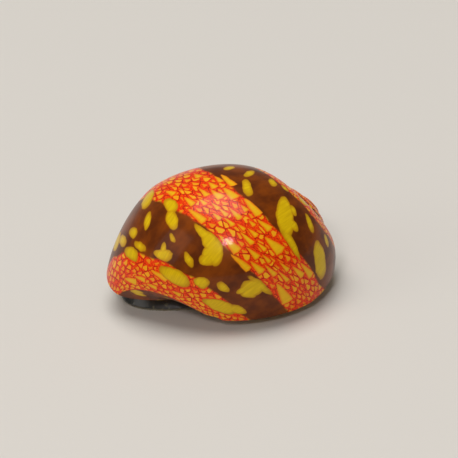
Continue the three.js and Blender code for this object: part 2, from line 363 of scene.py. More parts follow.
makeStudio(studio)
bpy.context.scene.view_settings.view_transform = "Standard"
print("camera, lights and floor made")


# The shell: one section that turns about an axis and grows at a steady rate (millimetres, degrees)

spiral = {
    "growthPerTurn": 2.14,
    "sectionRadius": 4.8,
    "centreDrop": 7.25,
    "halfWidth": 5.3,
    "halfHeight": 8.1,
    "squareness": 1.62,
    "sectionTurn": 2.9,
    "spireLift": 2.4,
    "columella": 0.02,
}
whorls = {
    "apexAt": -1080,
    "lastTurnFrom": -360,
    "lipAt": 36,
    "lipSlack": 0.5,
    "pieceAngle": 180,
    "lipPieceAngle": 36,
    "sides": 160,
    "lastStep": 1.5,
    "earlyStep": 6,
    "sharpAngle": 40,
}
carriage = {
    "turnAboutAxis": 74.8,
    "spireRaised": 21.5,
    "mouthPlane": -2.2,
    "heading": 123,
    "centre": (-6.9, 0.9),
    "place": (1.6, -0.2, 1.75),
    "farSideRaised": 8,
    "frontRaised": 3,
}
mouth = {
    "wall": 0.8,
    "columellaRadius": 1.0,
    "deepestAt": -125,
    "pastLip": 12,
    "step": 6,
    "sides": 96,
    "deckHollowAt": (0.2, -2.5),
    "deckHollowHalf": (4.6, 3.0),
    "deckHollowSquareness": 2.4,
    "deckHollowFrom": -1,
    "deckHollowDepth": 0.5,
    "deckHollowSlope": 0.35,
    # share of the depth, and how many slopes its side is drawn in there
    "deckHollowRings": [(0.7, 0.6), (1, 2)],
    "deckTeethAt": (0.0, 0.1),
    "teeth": 6,
    "toothSpacing": 0.62,
    "toothRadius": 0.28,
    "toothShrink": 0.08,
    # in radii of the tooth
    "toothHeight": 1.3,
    "toothMiddle": 1.2,
    # the block over the plane of the mouth, which the whole shell fits in
    "keptHalf": 30,
    "keptHeight": 40,
}


def turned(axis, degrees):
    return Matrix.Rotation(math.radians(degrees), 4, axis)


def carriedMatrix(values):
    x, y = values["centre"]
    layDown = Matrix(((0, 0, 1, 0), (0, 1, 0, 0), (-1, 0, 0, 0), (0, 0, 0, 1)))
    shift = Matrix.Translation((-x, -y, -values["mouthPlane"]))
    raised = turned("Y", -values["spireRaised"])
    return turned("Z", values["heading"]) @ shift @ raised @ layDown @ turned("Z", values["turnAboutAxis"])


carried = carriedMatrix(carriage)
toFloor = Matrix.Translation(carriage["place"]) @ turned("X", -carriage["frontRaised"])
toFloor = toFloor @ turned("Y", carriage["farSideRaised"])
toMetres = Matrix.Scale(millimetre, 4)


def whorlTree():
    inputs = {"Geometry": "Geometry", "From angle": 0.0, "To angle": 90.0, "Sides": 160, "Steps": 60}
    inputs.update({"Growth per turn": 2.0, "Section radius": 5.0, "Centre drop": 7.0, "Half width": 5.0})
    inputs.update({"Half height": 8.0, "Squareness": 2.0, "Section turn": 0.0, "Spire lift": 0.0})
    inputs["Columella"] = 0.02
    tree, given, result = newGroup("spiralWhorl", "GeometryNodeTree", inputs, {"Geometry": "Geometry"})
    tube = addNode(tree, "GeometryNodeMeshCylinder", {"Radius": 1.0, "Depth": 1.0}, fill_type="TRIANGLE_FAN")
    feed(tree, tube.inputs["Vertices"], given["Sides"])
    feed(tree, tube.inputs["Side Segments"], given["Steps"])
    x, y, z = split(tree, tree.nodes.new("GeometryNodeInputPosition").outputs[0])
    around = calc(tree, "ARCTAN2", y, x)
    reach = calc(tree, "SQRT", calc(tree, "ADD", calc(tree, "MULTIPLY", x, x), calc(tree, "MULTIPLY", y, y)))
    span = calc(tree, "SUBTRACT", given["To angle"], given["From angle"])
    angle = calc(tree, "MULTIPLY_ADD", calc(tree, "ADD", z, 0.5), span, given["From angle"])
    growth = calc(tree, "POWER", given["Growth per turn"], calc(tree, "DIVIDE", angle, 360.0))
    power = calc(tree, "DIVIDE", 2.0, given["Squareness"])

    def rounded(part, half):
        size = calc(tree, "POWER", calc(tree, "ABSOLUTE", part), power)
        return calc(tree, "MULTIPLY", calc(tree, "MULTIPLY", calc(tree, "SIGN", part), size),
                    calc(tree, "MULTIPLY", half, reach))

    across = rounded(calc(tree, "COSINE", around), given["Half width"])
    along = rounded(calc(tree, "SINE", around), given["Half height"])
    tilt = calc(tree, "RADIANS", given["Section turn"])
    tiltCos = calc(tree, "COSINE", tilt)
    tiltSin = calc(tree, "SINE", tilt)
    out = calc(tree, "MULTIPLY_ADD", across, tiltCos, given["Section radius"])
    out = calc(tree, "SUBTRACT", out, calc(tree, "MULTIPLY", along, tiltSin))
    radius = calc(tree, "MULTIPLY", growth, calc(tree, "MAXIMUM", given["Columella"], out))
    up = calc(tree, "MULTIPLY_ADD", along, tiltCos, calc(tree, "MULTIPLY", across, tiltSin))
    up = calc(tree, "MULTIPLY", growth, calc(tree, "SUBTRACT", up, given["Centre drop"]))
    lift = calc(tree, "MULTIPLY", given["Spire lift"], calc(tree, "SUBTRACT", 1.0, growth))
    way = calc(tree, "RADIANS", angle)
    newX = calc(tree, "MULTIPLY", radius, calc(tree, "COSINE", way))
    newY = calc(tree, "MULTIPLY", radius, calc(tree, "MULTIPLY", calc(tree, "SINE", way), -1.0))
    place = combine(tree, newX, newY, calc(tree, "ADD", up, lift))
    moved = addNode(tree, "GeometryNodeSetPosition", {"Geometry": tube.outputs["Mesh"], "Position": place})
    real = addNode(tree, "GeometryNodeRealizeInstances", {"Geometry": moved.outputs[0]})
    finish = addNode(tree, "GeometryNodeSetMaterial", {"Geometry": real.outputs[0]})
    tree.links.new(finish.outputs[0], result["Geometry"])
    return tree


spiralWhorl = whorlTree()


def whorl(fromAngle, toAngle, step, inset=0.0, columella=None, sides=None):
    steps = max(1, round((toAngle - fromAngle) / step))
    values = {
        "From angle": float(fromAngle),
        "To angle": float(toAngle),
        "Sides": sides or whorls["sides"],
        "Steps": steps,
        "Growth per turn": spiral["growthPerTurn"],
        "Section radius": spiral["sectionRadius"],
        "Centre drop": spiral["centreDrop"],
        "Half width": spiral["halfWidth"] - inset,
        "Half height": spiral["halfHeight"] - inset,
        "Squareness": spiral["squareness"],
        "Section turn": spiral["sectionTurn"],
        "Spire lift": spiral["spireLift"],
        "Columella": spiral["columella"] if columella is None else columella,
    }
    made = newObject("whorl", bpy.data.meshes.new("whorl"))
    nodes = made.modifiers.new("spiral", "NODES")
    nodes.node_group = spiralWhorl
    for item in spiralWhorl.interface.items_tree:
        if item.in_out == "INPUT" and item.name in values:
            nodes[item.identifier] = values[item.name]
    mesh = evaluated(made)
    dropObject(made)
    mesh.transform(carried)
    return mesh


def spiralBody():
    # pieces of half a turn, joined one by one
    start, end = whorls["lastTurnFrom"], whorls["lipAt"]
    piece, lipPiece, step = whorls["pieceAngle"], whorls["lipPieceAngle"], whorls["lastStep"]
    body = whorl(start, start + piece, step)
    body = joined(body, whorl(start + piece, end - lipPiece, step), "UNION")
    body = joined(body, whorl(end - lipPiece, end, step), "UNION")
    for at in range(start, whorls["apexAt"], -piece):
        body = joined(body, whorl(at - piece, at, whorls["earlyStep"]), "UNION")
    return body


def roundedOutline(halfWidth, halfLength, squareness, height, count=64):
    around = np.linspace(0, 2 * math.pi, count, endpoint=False)
    x = halfWidth * signedPower(np.cos(around), 2 / squareness)
    y = halfLength * signedPower(np.sin(around), 2 / squareness)
    return [(a, b, height) for a, b in zip(x, y)]


def atHeading(mesh, place):
    mesh.transform(turned("Z", carriage["heading"]) @ Matrix.Translation((place[0], place[1], 0)))
    return mesh


def deckHollow():
    halfWidth, halfLength = mouth["deckHollowHalf"]
    squareness = mouth["deckHollowSquareness"]
    rings = [roundedOutline(halfWidth, halfLength, squareness, mouth["deckHollowFrom"])]
    for share, slopes in mouth["deckHollowRings"]:
        drawnIn = mouth["deckHollowSlope"] * slopes
        height = mouth["deckHollowDepth"] * share
        rings.append(roundedOutline(halfWidth - drawnIn, halfLength - drawnIn, squareness, height))
    return atHeading(loftMesh("deckHollow", rings), mouth["deckHollowAt"])


def ball(name, radii, centre, rings=12, segments=20):
    mesh = bpy.data.meshes.new(name)
    shape = bmesh.new()
    bmesh.ops.create_uvsphere(shape, u_segments=segments, v_segments=rings, radius=1)
    bmesh.ops.scale(shape, vec=radii, verts=shape.verts)
    bmesh.ops.translate(shape, vec=centre, verts=shape.verts)
    shape.to_mesh(mesh)
    shape.free()
    return mesh


def shellMesh():
    end = whorls["lipAt"] + mouth["pastLip"]
    wall, columella = mouth["wall"], mouth["columellaRadius"]
    opening = whorl(mouth["deepestAt"], end, mouth["step"], wall, columella, mouth["sides"])
    shell = joined(spiralBody(), opening, "DIFFERENCE")
    for i in range(mouth["teeth"]):
        fromMiddle = i - (mouth["teeth"] - 1) / 2
        size = mouth["toothRadius"] * (1 - mouth["toothShrink"] * abs(fromMiddle))
        radii = (size, size, size * mouth["toothHeight"])
        place = (fromMiddle * mouth["toothSpacing"], 0, size * mouth["toothMiddle"])
        shell = joined(shell, atHeading(ball("tooth", radii, place), mouth["deckTeethAt"]), "UNION")
    half, height = mouth["keptHalf"], mouth["keptHeight"]
    shell = joined(shell, boxMesh((-half, -half, 0), (half, half, height)), "INTERSECT")
    return joined(shell, deckHollow(), "DIFFERENCE")


def spiralPlaces(points, turnsBack, near=None):
    # angle, share of the section and depth of each point, taken to be on the whorl that many turns back
    local = points @ np.array(carried.inverted().to_3x3()).T + np.array(carried.inverted().translation)
    angle = np.degrees(np.arctan2(-local[:, 1], local[:, 0])) % 360 - 360 * turnsBack
    if turnsBack == 0:
        angle = np.where(angle > whorls["lipAt"] + whorls["lipSlack"], angle - 360, angle)
    if near is not None:
        angle = angle + 360 * np.round((near - angle) / 360)
    growth = spiral["growthPerTurn"] ** (angle / 360)
    out = np.hypot(local[:, 0], local[:, 1]) / growth - spiral["sectionRadius"]
    up = (local[:, 2] - spiral["spireLift"] * (1 - growth)) / growth + spiral["centreDrop"]
    tilt = math.radians(spiral["sectionTurn"])
    across = (out * math.cos(tilt) + up * math.sin(tilt)) / spiral["halfWidth"]
    along = (up * math.cos(tilt) - out * math.sin(tilt)) / spiral["halfHeight"]
    half = spiral["squareness"] / 2
    around = np.arctan2(signedPower(along, half), signedPower(across, half))
    depth = np.abs(across) ** spiral["squareness"] + np.abs(along) ** spiral["squareness"]
    return angle, (math.pi / 2 - around) / (2 * math.pi), depth


millimetresPerDegree = 0.175
millimetresPerShare = 42.0
marking = {"turns": 4, "outsideWithin": 0.02}


def markSpiral(mesh):
    # a UV map along the spiral and across the whorl, in millimetres of the last turn
    faceCount = len(mesh.polygons)
    centres = np.zeros(faceCount * 3)
    mesh.polygons.foreach_get("center", centres)
    centres = centres.reshape(-1, 3)
    turns = range(marking["turns"])
    offSurface = np.array([np.abs(spiralPlaces(centres, back)[2] - 1) for back in turns])
    nearest = np.argmin(offSurface, axis=0)
    outside = np.min(offSurface, axis=0) < marking["outsideWithin"]
    loopVertex = np.zeros(len(mesh.loops), int)
    mesh.loops.foreach_get("vertex_index", loopVertex)
    loopTotal = np.zeros(faceCount, int)
    mesh.polygons.foreach_get("loop_total", loopTotal)
    loopFace = np.repeat(np.arange(faceCount), loopTotal)
    points = vertexArray(mesh)[loopVertex]
    place = np.zeros((len(points), 2))
    for back in turns:
        chosen = nearest[loopFace] == back
        middleAngle, middleShare = spiralPlaces(centres[loopFace[chosen]], back)[:2]
        angle, share = spiralPlaces(points[chosen], back, middleAngle)[:2]
        share += np.round(middleShare - share)
        place[chosen, 0] = angle * millimetresPerDegree
        place[chosen, 1] = share * millimetresPerShare
    layer = mesh.uv_layers.new(name="spiralPlace")
    layer.data.foreach_set("uv", place.astype(np.float32).ravel())
    return outside


shellShape = shellMesh()
outsideFaces = markSpiral(shellShape)
shellShape.transform(toMetres @ toFloor)
shellShape.shade_smooth()
sharpEdges(shellShape, whorls["sharpAngle"])
shell = newObject("nerite.shell", shellShape)
print("shell made,", len(shellShape.polygons), "faces,", int(outsideFaces.sum()), "outside")


# The pattern on the shell
# Places are the angle along the spiral and the share of the way across the whorl, and sizes are millimetres.

bands = {
    # share at the lip and change per 100 degrees, for the edges of the red bands in brown
    "edges": [(0.066, -0.001), (0.156, -0.017), (0.283, -0.016), (0.407, 0.007), (0.502, 0.004),
              (0.60, 0.0)],
    "straightBefore": -220,
    "edgeSoftness": 0.14,
    # scale of a noise, and how far it pushes the places of the bands, of small marks and of patches
    "wave": (0.45, 0.7),
    "fine": (1.4, 0.16),
    "ragged": (0.75, 0.42),
    "brownCloud": {"Scale": 0.35, "Detail": 3.0, "Roughness": 0.6},
    "brownDark": srgb(92, 38, 0),
    "brownLight": srgb(130, 60, 0),
    "yellowDeep": srgb(214, 174, 0),
    "yellowBright": srgb(230, 194, 6),
    "yellowEdge": srgb(192, 138, 0),
    # from the outside of a patch or mark to its inside, where its colour begins and its edge colour ends
    "patchFade": (-0.02, 0.07),
    "markFade": (-0.02, 0.09),
    "edgeColourFade": (0.0, 0.3),
    "markPale": srgb(240, 184, 16),
}
net = {
    "rows": {"Pitch along": 1.4, "Pitch across": 0.86, "Left out": 0.03},
    "clearOfMarks": 0.09,
    "tentFade": (0.0, 0.07),
    "tentPale": srgb(248, 178, 24),
    "tentDeep": srgb(238, 134, 4),
    "hatch": {"Scale": 5.0, "Detail": 2.0, "Roughness": 0.6, "Low": 0.3, "High": 0.7},
    "orange": srgb(252, 84, 4),
    "red": srgb(222, 28, 0),
    "lineFade": (0.01, 0.085),
    "lineBreakScale": 1.3,
    "lineBreakFade": (0.35, 0.6),
    "line": srgb(158, 4, 0),
}
gloss = {
    "growthLines": (4.5, 0.5, 1.0),
    "growthLineNoise": (1.0, 3.0, 0.65),
    "growthLineFade": (0.2, 0.9),
    # how much the growth lines lighten the colour, and how light it is without
    "growthLineShade": (0.25, 0.86),
    "roughnessScale": 0.8,
    "roughness": (0.14, 0.25),
    "specular": 0.12,
    "coat": 0.22,
    "coatRoughness": 0.08,
    "bump": 0.3,
    "bumpDepth": 0.02,
}
# patches on the sides that the photograph doesn't show
scatter = {
    "lean": 26,
    "cell": (4.2, 2.2),
    "unevenness": 0.85,
    "emptyCells": 0.2,
    "reach": (0.26, 0.14),
    "steepness": 2.0,
    "leftOutAngles": (-222, -50),
    "leftOutShare": 0.51,
}
# angle, share, half length, half width, turn, taper
yellowPatches = [
    (-141.0, 0.139, 2.75, 0.95, -35, 0.12),
    (-158.0, 0.180, 2.40, 0.42, -13, -0.5),
    (-149.3, 0.143, 1.05, 0.44, -8, 0.0),
    (-142.0, 0.112, 0.85, 0.36, -18, 0.0),
    (-185.0, 0.150, 2.55, 1.02, -24, 0.1),
    (-158.0, 0.100, 1.50, 0.42, -22, 0.1),
    (-183.5, 0.090, 1.05, 0.45, -18, 0.0),
    (-139.0, 0.046, 1.30, 0.56, -6, 0.1),
    (-120.0, 0.068, 0.92, 0.34, -8, 0.0),
    (-111.0, 0.085, 1.15, 0.40, -24, 0.1),
    (-96.0, 0.111, 1.10, 0.40, -40, 0.1),
    (-110.5, 0.150, 1.45, 0.44, -27, 0.1),
    (-83.0, 0.130, 0.85, 0.45, -30, 0.0),
    (-165.0, 0.3185, 1.75, 0.36, 4, 0.0),
    (-162.6, 0.335, 1.15, 0.88, 14, 0.1),
    (-164.5, 0.350, 0.85, 0.50, 20, -0.1),
    (-160.0, 0.352, 0.60, 0.45, 60, 0.2),
    (-130.5, 0.327, 1.50, 0.80, -36, -0.1),
    (-124.0, 0.316, 1.10, 0.70, -20, 0.2),
    (-127.5, 0.337, 0.62, 0.50, -30, 0.0),
    (-118.6, 0.311, 1.45, 0.40, -10, 0.4),
    (-130.2, 0.349, 0.88, 0.52, 6, -0.1),
    (-150.0, 0.374, 0.86, 0.42, -4, -0.2),
    (-136.8, 0.396, 0.98, 0.58, 6, 0.4),
    (-121.0, 0.369, 0.95, 0.32, -22, 0.1),
    (-104.0, 0.386, 1.30, 0.50, 6, 0.3),
    (-102.6, 0.375, 0.62, 0.32, -42, 0.0),
    (-108.5, 0.381, 0.45, 0.22, 30, 0.0),
    (-104.5, 0.349, 0.60, 0.21, -20, 0.0),
    (-89.8, 0.295, 1.20, 0.55, -12, 0.0),
    (-97.0, 0.319, 1.22, 0.55, -30, 0.0),
    (-80.5, 0.338, 0.92, 0.42, -52, 0.0),
    (-66.5, 0.293, 1.45, 0.76, -38, 0.0),
    (-71.8, 0.363, 0.92, 0.43, -18, 0.1),
    (-61.5, 0.376, 1.25, 0.42, -18, 0.1),
    (-83.5, 0.387, 1.15, 0.31, -12, 0.1),
    (-77.0, 0.403, 1.50, 0.54, -14, 0.2),
    (-118.5, 0.417, 2.40, 0.74, -2, 0.15),
    (-159.5, 0.419, 2.45, 0.86, 13, 0.3),
    (-171.0, 0.396, 1.30, 0.56, 14, -0.2),
    (-80.0, 0.514, 1.30, 0.55, -10, 0.0),
]
# in the red bands, each with a straight base and a point towards the lip
pointedMarks = [
    (-179.0, 0.1965, 1.30, 0.44, 0, 0.6),
    (-174.5, 0.2170, 1.00, 0.42, 6, 0.6),
    (-125.0, 0.1815, 1.30, 0.42, -7, 0.4),
    (-138.0, 0.1950, 0.95, 0.42, 4, 0.7),
    (-109.5, 0.1880, 1.00, 0.46, -4, 0.5),
    (-151.0, 0.2150, 1.25, 0.68, 2, 0.7),
    (-98.5, 0.1640, 1.30, 0.34, -7, 0.4),
    (-105.5, 0.2090, 0.88, 0.42, -4, 0.6),
    (-108.0, 0.2880, 1.20, 0.38, -4, 0.5),
    (-154.0, 0.2950, 0.95, 0.42, 0, 0.7),
    (-146.0, 0.2770, 0.88, 0.38, 0, 0.7),
    (-145.5, 0.3110, 1.30, 0.36, 0, 0.5),
    (-135.0, 0.2950, 1.00, 0.46, -6, 0.5),
    (-179.5, 0.2950, 1.60, 0.62, -8, 0.5),
    (-98.0, 0.2690, 0.80, 0.36, -8, 0.5),
    (-82.5, 0.2700, 0.75, 0.36, 0, 0.5),
    (-147.0, 0.2430, 0.62, 0.40, 0, 0.6),
    (-138.0, 0.2570, 0.90, 0.46, 0, 0.6),
    (-124.5, 0.2520, 0.66, 0.44, -4, 0.6),
    (-122.5, 0.2210, 0.90, 0.36, -6, 0.7),
    (-104.5, 0.2490, 0.60, 0.38, -6, 0.6),
    (-165.0, 0.2370, 0.80, 0.38, 4, 0.7),
    (-169.5, 0.2640, 0.90, 0.36, 4, 0.7),
    (-161.0, 0.2780, 0.90, 0.34, 0, 0.7),
    (-154.0, 0.2630, 0.62, 0.32, 0, 0.7),
    (-137.5, 0.2290, 0.66, 0.34, 0, 0.7),
    (-133.0, 0.2120, 0.48, 0.28, 0, 0.7),
    (-117.8, 0.2380, 0.60, 0.34, -4, 0.7),
    (-112.0, 0.2370, 0.58, 0.34, -6, 0.7),
    (-99.0, 0.2220, 0.85, 0.34, -8, 0.7),
    (-123.0, 0.1960, 0.52, 0.30, -6, 0.7),
    (-97.5, 0.1960, 0.70, 0.36, -8, 0.7),
    (-94.5, 0.1750, 0.78, 0.28, -8, 0.6),
    (-82.0, 0.1910, 0.66, 0.38, -8, 0.7),
    (-117.0, 0.2630, 0.60, 0.34, -4, 0.7),
    (-131.0, 0.2390, 0.52, 0.30, 0, 0.7),
    (-107.0, 0.4310, 1.40, 0.34, -6, 0.4),
    (-89.5, 0.4550, 1.05, 0.34, -8, 0.5),
    (-78.5, 0.4640, 1.30, 0.46, -12, 0.5),
    (-102.0, 0.4710, 1.00, 0.38, -8, 0.5),
    (-126.0, 0.4600, 0.80, 0.36, 0, 0.5),
]


def shapeGroup(name, depthOf):
    # the third value of the place carries the greatest depth so far, so that shapes can be chained
    inputs = {"Place and depth": "Vector", "Middle": "Vector", "Half length": 1.0, "Half width": 0.5}
    inputs.update({"Turn": 0.0, "Taper": 0.0})
    tree, given, result = newGroup(name, "ShaderNodeTree", inputs, {"Place and depth": "Vector"})
    local = turnedPlace(tree, given["Place and depth"], given["Turn"], given["Middle"])
    along, across, before = split(tree, vectorCalc(tree, "SUBTRACT", local, given["Middle"]))
    depth = calc(tree, "MAXIMUM", depthOf(tree, along, across, given), before)
    u, v, unused = split(tree, given["Place and depth"])
    feed(tree, result["Place and depth"], combine(tree, u, v, depth))
    return tree


patchForm = {"leastWidth": 0.1, "endPower": 1.7, "sidePower": 2.3}


def patchDepth(tree, along, across, given):
    share = calc(tree, "DIVIDE", along, given["Half length"])
    narrowing = calc(tree, "SUBTRACT", 1.0, calc(tree, "MULTIPLY", share, given["Taper"]))
    narrowing = calc(tree, "MAXIMUM", narrowing, patchForm["leastWidth"])
    side = calc(tree, "DIVIDE", across, calc(tree, "MULTIPLY", given["Half width"], narrowing))
    far = calc(tree, "POWER", calc(tree, "ABSOLUTE", share), patchForm["endPower"])
    wide = calc(tree, "POWER", calc(tree, "ABSOLUTE", side), patchForm["sidePower"])
    reach = calc(tree, "SQRT", calc(tree, "ADD", far, wide))
    return calc(tree, "MULTIPLY", calc(tree, "SUBTRACT", 1.0, reach), given["Half width"])


pointedForm = {"baseWidth": 1.1, "baseCurve": 0.3}


def pointedDepth(tree, along, across, given):
    # a base that is nearly straight, and sides that curve to a point
    toTip = calc(tree, "SUBTRACT", given["Half length"], along)
    share = calc(tree, "DIVIDE", calc(tree, "MAXIMUM", toTip, 0.0), given["Half length"])
    rise = calc(tree, "POWER", calc(tree, "MULTIPLY", share, 0.5), given["Taper"])
    rise = calc(tree, "MULTIPLY", rise, pointedForm["baseWidth"])
    width = calc(tree, "MULTIPLY", given["Half width"], rise)
    wall = calc(tree, "SUBTRACT", width, calc(tree, "ABSOLUTE", across))
    curve = calc(tree, "MULTIPLY", calc(tree, "ABSOLUTE", across), pointedForm["baseCurve"])
    base = calc(tree, "SUBTRACT", calc(tree, "ADD", given["Half length"], along), curve)
    return calc(tree, "MINIMUM", calc(tree, "MINIMUM", wall, base), toTip)


tentForm = {
    "smallest": 0.7,
    "growth": 0.55,
    "length": 0.66,
    "width": 0.40,
    "tipAt": 0.55,
    "baseAt": 0.45,
    "sideCurve": 0.9,
    "apart": 0.05,
}


def tentGroup():
    inputs = {"Place": "Vector", "Pitch along": 1.7, "Pitch across": 1.05, "Size": 1.0}
    inputs.update({"Left out": 0.1, "Unevenness": 0.6})
    outputs = {"Depth": "Float", "Border": "Float", "Tone": "Float"}
    tree, given, result = newGroup("tents", "ShaderNodeTree", inputs, outputs)
    pitchAlong, pitchAcross = given["Pitch along"], given["Pitch across"]
    u, v, unused = split(tree, given["Place"])
    a = calc(tree, "DIVIDE", u, pitchAlong)
    b = calc(tree, "DIVIDE", v, pitchAcross)
    skewed = combine(tree, calc(tree, "ADD", a, b), calc(tree, "SUBTRACT", a, b))
    values = {"Vector": skewed, "Scale": 1.0, "Randomness": given["Unevenness"]}
    cell = addNode(tree, "ShaderNodeTexVoronoi", values, voronoi_dimensions="2D", feature="F1").outputs
    edge = addNode(tree, "ShaderNodeTexVoronoi", values, voronoi_dimensions="2D",
                   feature="DISTANCE_TO_EDGE").outputs
    cellA, cellB, unused = split(tree, cell["Position"])
    middleU = calc(tree, "ADD", cellA, cellB)
    middleU = calc(tree, "MULTIPLY", middleU, calc(tree, "MULTIPLY", pitchAlong, 0.5))
    middleV = calc(tree, "SUBTRACT", cellA, cellB)
    middleV = calc(tree, "MULTIPLY", middleV, calc(tree, "MULTIPLY", pitchAcross, 0.5))
    along = calc(tree, "SUBTRACT", u, middleU)
    across = calc(tree, "ABSOLUTE", calc(tree, "SUBTRACT", v, middleV))
    chance, tone, unused = split(tree, cell["Color"])
    size = calc(tree, "MULTIPLY_ADD", tone, tentForm["growth"], tentForm["smallest"])
    size = calc(tree, "MULTIPLY", given["Size"], size)
    length = calc(tree, "MULTIPLY", calc(tree, "MULTIPLY", pitchAlong, tentForm["length"]), size)
    width = calc(tree, "MULTIPLY", calc(tree, "MULTIPLY", pitchAcross, tentForm["width"]), size)
    toTip = calc(tree, "SUBTRACT", calc(tree, "MULTIPLY", length, tentForm["tipAt"]), along)
    share = calc(tree, "MAXIMUM", calc(tree, "DIVIDE", toTip, length), 0.0)
    side = calc(tree, "MULTIPLY", width, calc(tree, "POWER", share, tentForm["sideCurve"]))
    wall = calc(tree, "SUBTRACT", side, across)
    base = calc(tree, "MULTIPLY_ADD", length, tentForm["baseAt"], along)
    inside = calc(tree, "SUBTRACT", edge["Distance"], tentForm["apart"])
    depth = calc(tree, "MINIMUM", calc(tree, "MINIMUM", wall, base), inside)
    missing = calc(tree, "LESS_THAN", chance, given["Left out"])
    feed(tree, result["Depth"], calc(tree, "SUBTRACT", depth, missing))
    feed(tree, result["Border"], edge["Distance"])
    feed(tree, result["Tone"], tone)
    return tree


patch = shapeGroup("patch", patchDepth)
pointedMark = shapeGroup("pointedMark", pointedDepth)
tents = tentGroup()


def placeOf(angle, share):
    return (angle * millimetresPerDegree, share * millimetresPerShare, 0.0)


def greatestDepth(tree, place, shapes, group):
    # how deep each place lies in the shapes, in millimetres, and below 0 outside them
    u, v, unused = split(tree, place)
    carrier = combine(tree, u, v, -10.0)
    for angle, share, halfLength, halfWidth, turn, taper in shapes:
        values = {"Place and depth": carrier, "Middle": placeOf(angle, share), "Half length": halfLength}
        values.update({"Half width": halfWidth, "Turn": math.radians(-turn), "Taper": taper})
        carrier = placeGroup(tree, group, values)["Place and depth"]
    return split(tree, carrier)[2]


def warped(tree, place, scale, amount):
    centred = vectorCalc(tree, "SUBTRACT", noise(tree, place, scale)["Color"], (0.5, 0.5, 0.5))
    values = {0: centred, "Scale": amount}
    moved = addNode(tree, "ShaderNodeVectorMath", values, operation="SCALE").outputs[0]
    return vectorCalc(tree, "ADD", place, moved)


def redBands(tree, place):
    # 1 in the red bands, 0 in the brown ones
    u, v, unused = split(tree, warped(tree, place, *bands["wave"]))
    slopeFrom = bands["straightBefore"] * millimetresPerDegree
    slopePlace = calc(tree, "MINIMUM", calc(tree, "MAXIMUM", u, slopeFrom), 0.0)
    soft = bands["edgeSoftness"]
    steps = []
    for share, slope in bands["edges"]:
        perMillimetre = slope / 100 / millimetresPerDegree * millimetresPerShare
        edge = calc(tree, "MULTIPLY_ADD", slopePlace, perMillimetre, share * millimetresPerShare)
        steps.append(ramp(tree, calc(tree, "SUBTRACT", v, edge), -soft, soft))
    # red before the first edge, from the second to the third, the fourth to the fifth, and past the sixth
    red = calc(tree, "SUBTRACT", 1.0, steps[0])
    red = calc(tree, "ADD", red, calc(tree, "SUBTRACT", steps[1], steps[2]))
    red = calc(tree, "ADD", red, calc(tree, "SUBTRACT", steps[3], steps[4]))
    return calc(tree, "ADD", red, steps[5])


def netColour(tree, place, fine, taken):
    # red hatching, with pale tents that keep clear of the marks and patches placed one by one
    tent = placeGroup(tree, tents, {"Place": fine, **net["rows"]})
    free = calc(tree, "MULTIPLY_ADD", taken, -1.0, -net["clearOfMarks"])
    tentMask = ramp(tree, calc(tree, "MINIMUM", tent["Depth"], free), *net["tentFade"])
    ground = mottled(tree, place, net["hatch"], net["red"], net["orange"])["Colour"]
    line = calc(tree, "SUBTRACT", 1.0, ramp(tree, tent["Border"], *net["lineFade"]))
    breaks = noise(tree, place, net["lineBreakScale"])["Fac"]
    line = calc(tree, "MULTIPLY", line, ramp(tree, breaks, *net["lineBreakFade"]))
    ground = mixColour(tree, line, ground, net["line"])
    tentColour = mixColour(tree, tent["Tone"], net["tentDeep"], net["tentPale"])
    return mixColour(tree, tentMask, ground, tentColour)


def scatteredDepth(tree, place):
    # away from the side that the photograph shows, patches by cells, each kept or left out whole
    lean = math.radians(scatter["lean"])
    cellLength, cellWidth = scatter["cell"]
    leaning = turnedPlace(tree, place, lean)
    shrunk = vectorCalc(tree, "MULTIPLY", leaning, (1 / cellLength, 1 / cellWidth, 1.0))
    values = {"Vector": shrunk, "Scale": 1.0, "Randomness": scatter["unevenness"]}
    cells = addNode(tree, "ShaderNodeTexVoronoi", values, voronoi_dimensions="2D").outputs
    chance, sizeChance, unused = split(tree, cells["Color"])
    middle = vectorCalc(tree, "MULTIPLY", cells["Position"], (cellLength, cellWidth, 1.0))
    u, v, unused = split(tree, turnedPlace(tree, middle, -lean))
    fromAngle, toAngle = scatter["leftOutAngles"]
    seen = calc(tree, "MULTIPLY", calc(tree, "GREATER_THAN", u, fromAngle * millimetresPerDegree),
                calc(tree, "LESS_THAN", u, toAngle * millimetresPerDegree))
    below = calc(tree, "LESS_THAN", v, scatter["leftOutShare"] * millimetresPerShare)
    seen = calc(tree, "MULTIPLY", seen, below)
    reach = calc(tree, "MULTIPLY_ADD", sizeChance, *scatter["reach"])
    reach = calc(tree, "MULTIPLY", reach, calc(tree, "GREATER_THAN", chance, scatter["emptyCells"]))
    depth = calc(tree, "SUBTRACT", reach, cells["Distance"])
    depth = calc(tree, "MULTIPLY", depth, scatter["steepness"])
    return calc(tree, "SUBTRACT", depth, seen)


